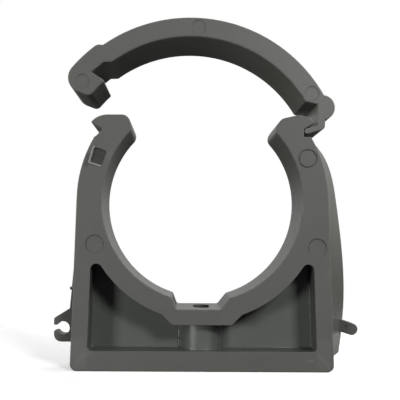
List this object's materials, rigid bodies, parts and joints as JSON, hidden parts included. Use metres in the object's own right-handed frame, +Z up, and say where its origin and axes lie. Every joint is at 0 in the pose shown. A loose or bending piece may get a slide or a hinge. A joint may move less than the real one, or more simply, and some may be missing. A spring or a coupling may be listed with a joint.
{
  "type": "pipe clip",
  "caption": "Open pipe clip with a screw-down foot, round snap-in seat, barbed noses, side couplings and a hinged snap strap over the mouth.",
  "frame": {"origin": "middle of the screw slot's mouth in the flat underside of the foot", "axes": "+X across the clip towards the strap's hinge, +Y along the pipe from front to back, +Z up from the foot"},
  "size_m": [0.0987, 0.02, 0.1111],
  "materials": {
    "saddle": "moulded, fine matt",
    "strap": "moulded, fine matt"
  },
  "bodies": {
    "saddle": {"saddle": "saddle"},
    "strap": {"strap": "strap"}
  },
  "joints": [
    {"name": "strap_hinge", "type": "hinge", "parent": "saddle", "child": "strap", "pos_m": [0.03275, 0, 0.07558], "axis": [0, 1, 0], "range_deg": [-13.2, 40]}
  ]
}
